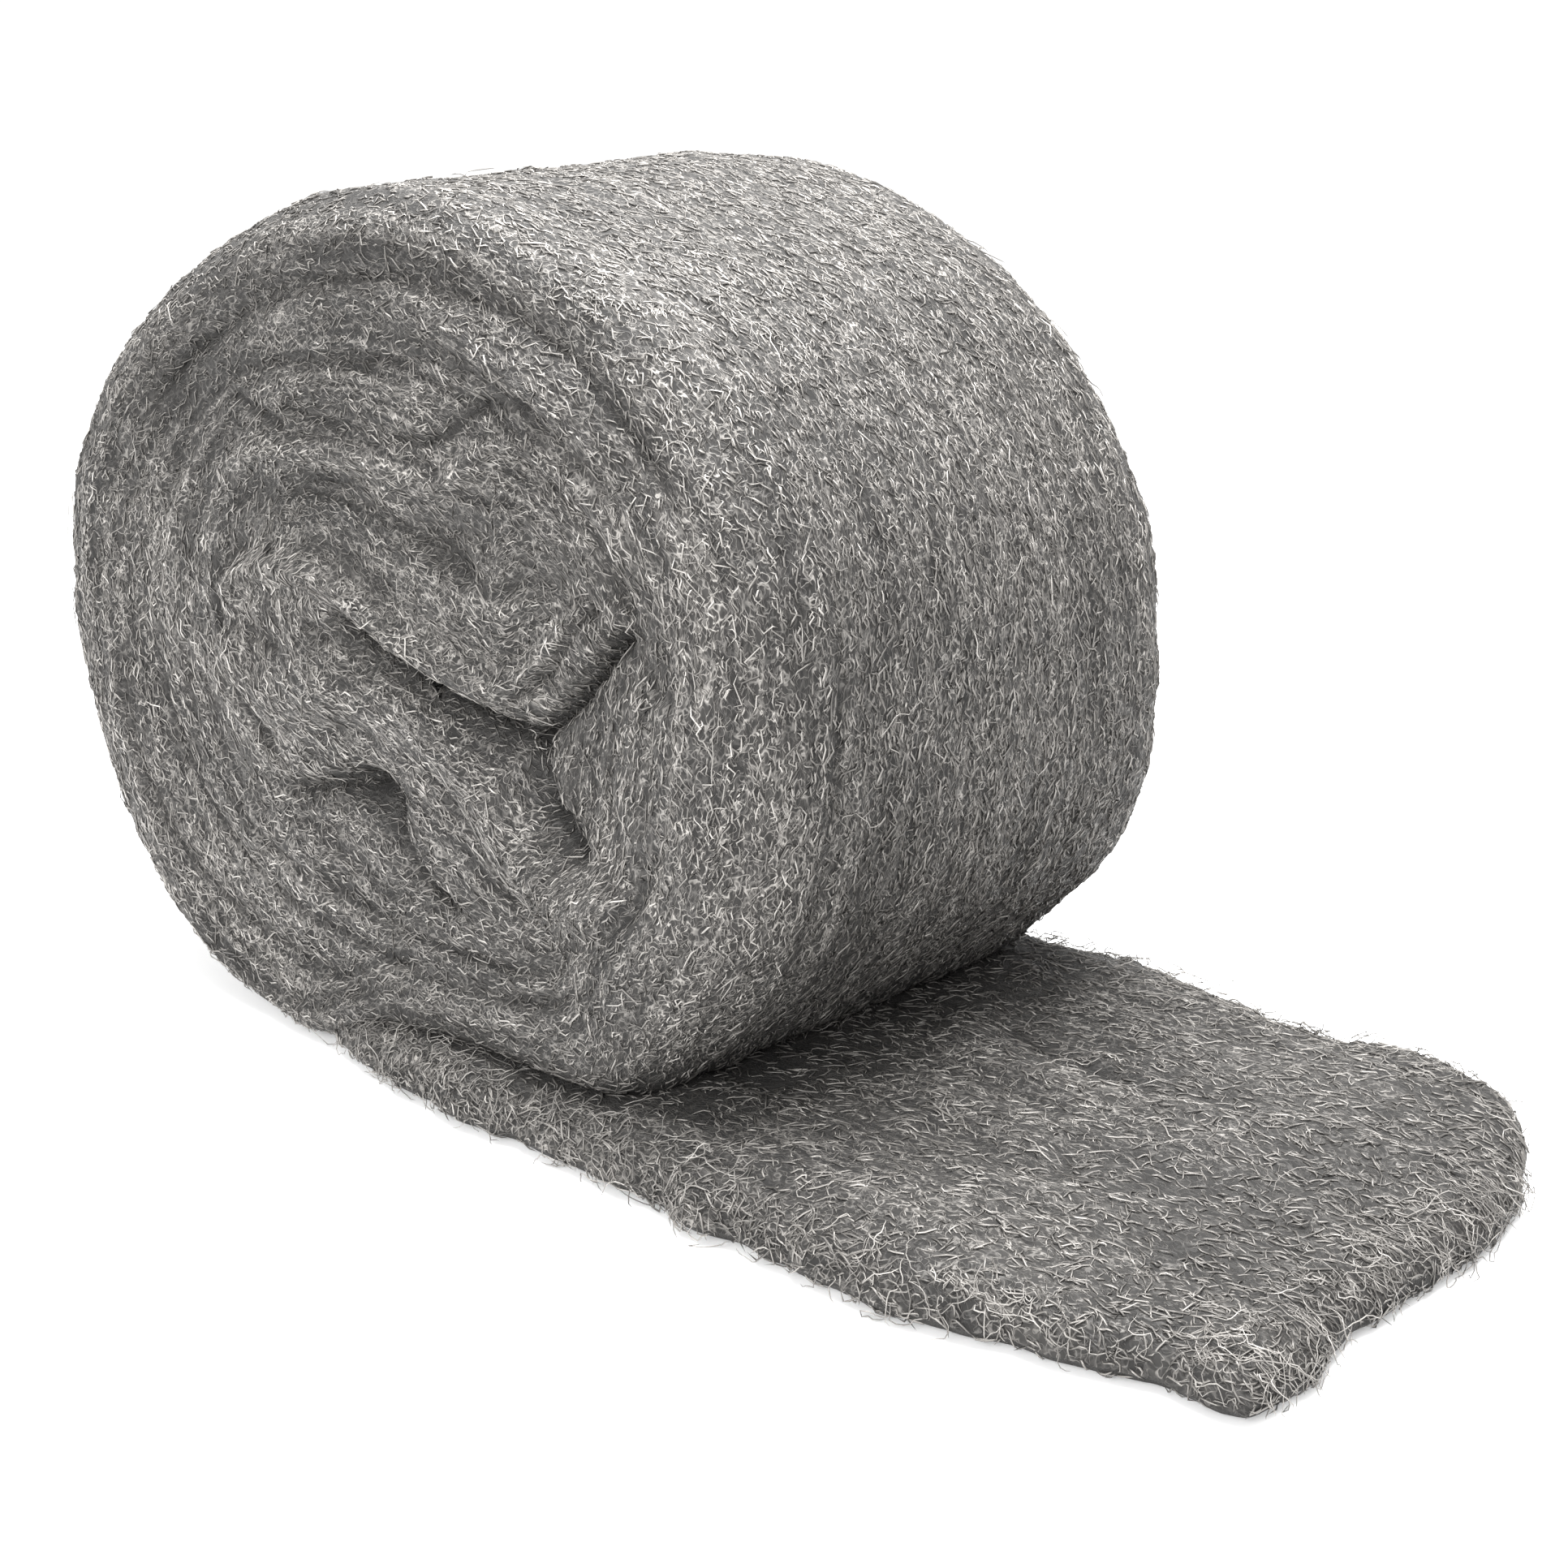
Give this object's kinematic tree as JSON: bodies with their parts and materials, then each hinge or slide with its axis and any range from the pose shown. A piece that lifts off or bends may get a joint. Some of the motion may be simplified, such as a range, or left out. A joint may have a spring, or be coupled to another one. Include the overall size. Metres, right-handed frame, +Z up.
{
  "type": "steel wool roll",
  "caption": "Loosely wound roll of steel wool with its free end pulled out flat and a folded centre, for scrubbing, polishing or stuffing gaps.",
  "frame": {"origin": "on the table surface, below the middle of the bounding box", "axes": "+Z up from the table, +X along the flat free end, Y along the roll's axis with the folded end face seen in the picture towards -Y"},
  "size_m": [0.2224, 0.094, 0.1218],
  "materials": {
    "steel_wool": "matte mass of fine bright steel fibres"
  },
  "bodies": {
    "root": {"wool_roll": "steel_wool"}
  },
  "joints": []
}
